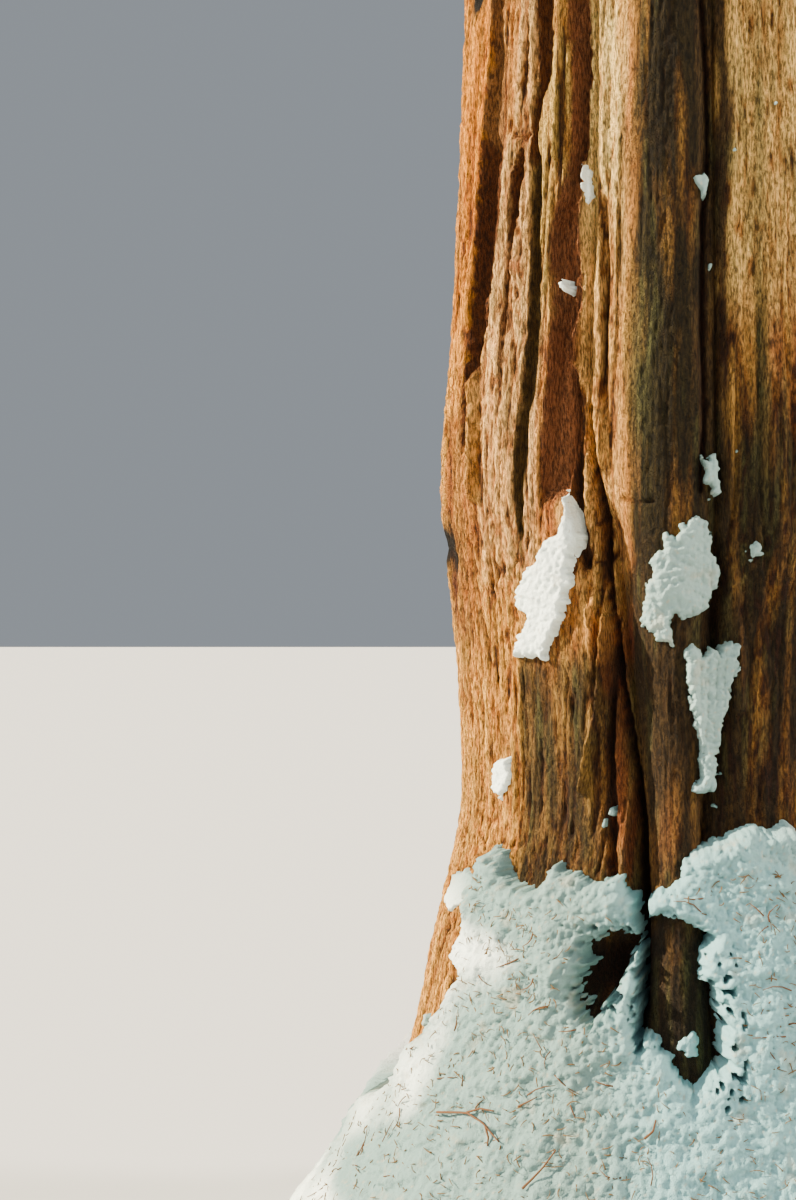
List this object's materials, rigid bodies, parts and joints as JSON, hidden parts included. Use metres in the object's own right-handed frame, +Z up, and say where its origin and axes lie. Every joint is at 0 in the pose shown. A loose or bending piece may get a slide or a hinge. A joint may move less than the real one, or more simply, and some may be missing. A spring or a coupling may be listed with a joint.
{
  "type": "giant sequoia tree",
  "caption": "Tall conifer with a fluted, flared trunk of fibrous red-brown bark, short boughs with rounded masses of foliage, and snow banked round its foot.",
  "frame": {"origin": "centre of the flat cut under the trunk, at ground level", "axes": "+Z up the trunk, -Y towards the viewer of the picture, +X to that viewer's right"},
  "size_m": [9.2279, 9.835, 40],
  "materials": {
    "bark": "thick, fibrous, deeply furrowed bark, orange brown where lit, umber in the furrows, with green lichen",
    "bough_bark": "thinner, scaly red-brown bark",
    "foliage": "dense grey-green scale leaves on cord-like shoots, matt, lightly dusted with snow",
    "snow": "granular settled snow, strewn with brown twigs and needles"
  },
  "bodies": {
    "root": {"bough_01": "bough_bark", "bough_02": "bough_bark", "bough_03": "bough_bark", "bough_04": "bough_bark", "bough_05": "bough_bark", "bough_06": "bough_bark", "bough_07": "bough_bark", "bough_08": "bough_bark", "bough_09": "bough_bark", "bough_10": "bough_bark", "bough_11": "bough_bark", "bough_12": "bough_bark", "bough_13": "bough_bark", "bough_14": "bough_bark", "bough_15": "bough_bark", "bough_16": "bough_bark", "bough_17": "bough_bark", "bough_18": "bough_bark", "bough_19": "bough_bark", "bough_20": "bough_bark", "bough_21": "bough_bark", "bough_22": "bough_bark", "foliage_01": "foliage", "foliage_02": "foliage", "foliage_03": "foliage", "foliage_04": "foliage", "foliage_05": "foliage", "foliage_06": "foliage", "foliage_07": "foliage", "foliage_08": "foliage", "foliage_09": "foliage", "foliage_10": "foliage", "foliage_11": "foliage", "foliage_12": "foliage", "foliage_13": "foliage", "foliage_14": "foliage", "foliage_15": "foliage", "foliage_16": "foliage", "foliage_17": "foliage", "foliage_18": "foliage", "foliage_19": "foliage", "foliage_20": "foliage", "foliage_21": "foliage", "foliage_22": "foliage", "foliage_tip": "foliage", "foliage_top_1": "foliage", "foliage_top_2": "foliage", "foliage_top_3": "foliage", "snow_back_furrow": "snow", "snow_foot_back": "snow", "snow_foot_far_left": "snow", "snow_foot_left": "snow", "snow_foot_middle": "snow", "snow_foot_right": "snow", "snow_foot_side": "snow", "snow_left_column": "snow", "snow_main_furrow": "snow", "snow_middle_column": "snow", "snow_right_furrow": "snow", "trunk": "bark"}
  },
  "joints": []
}
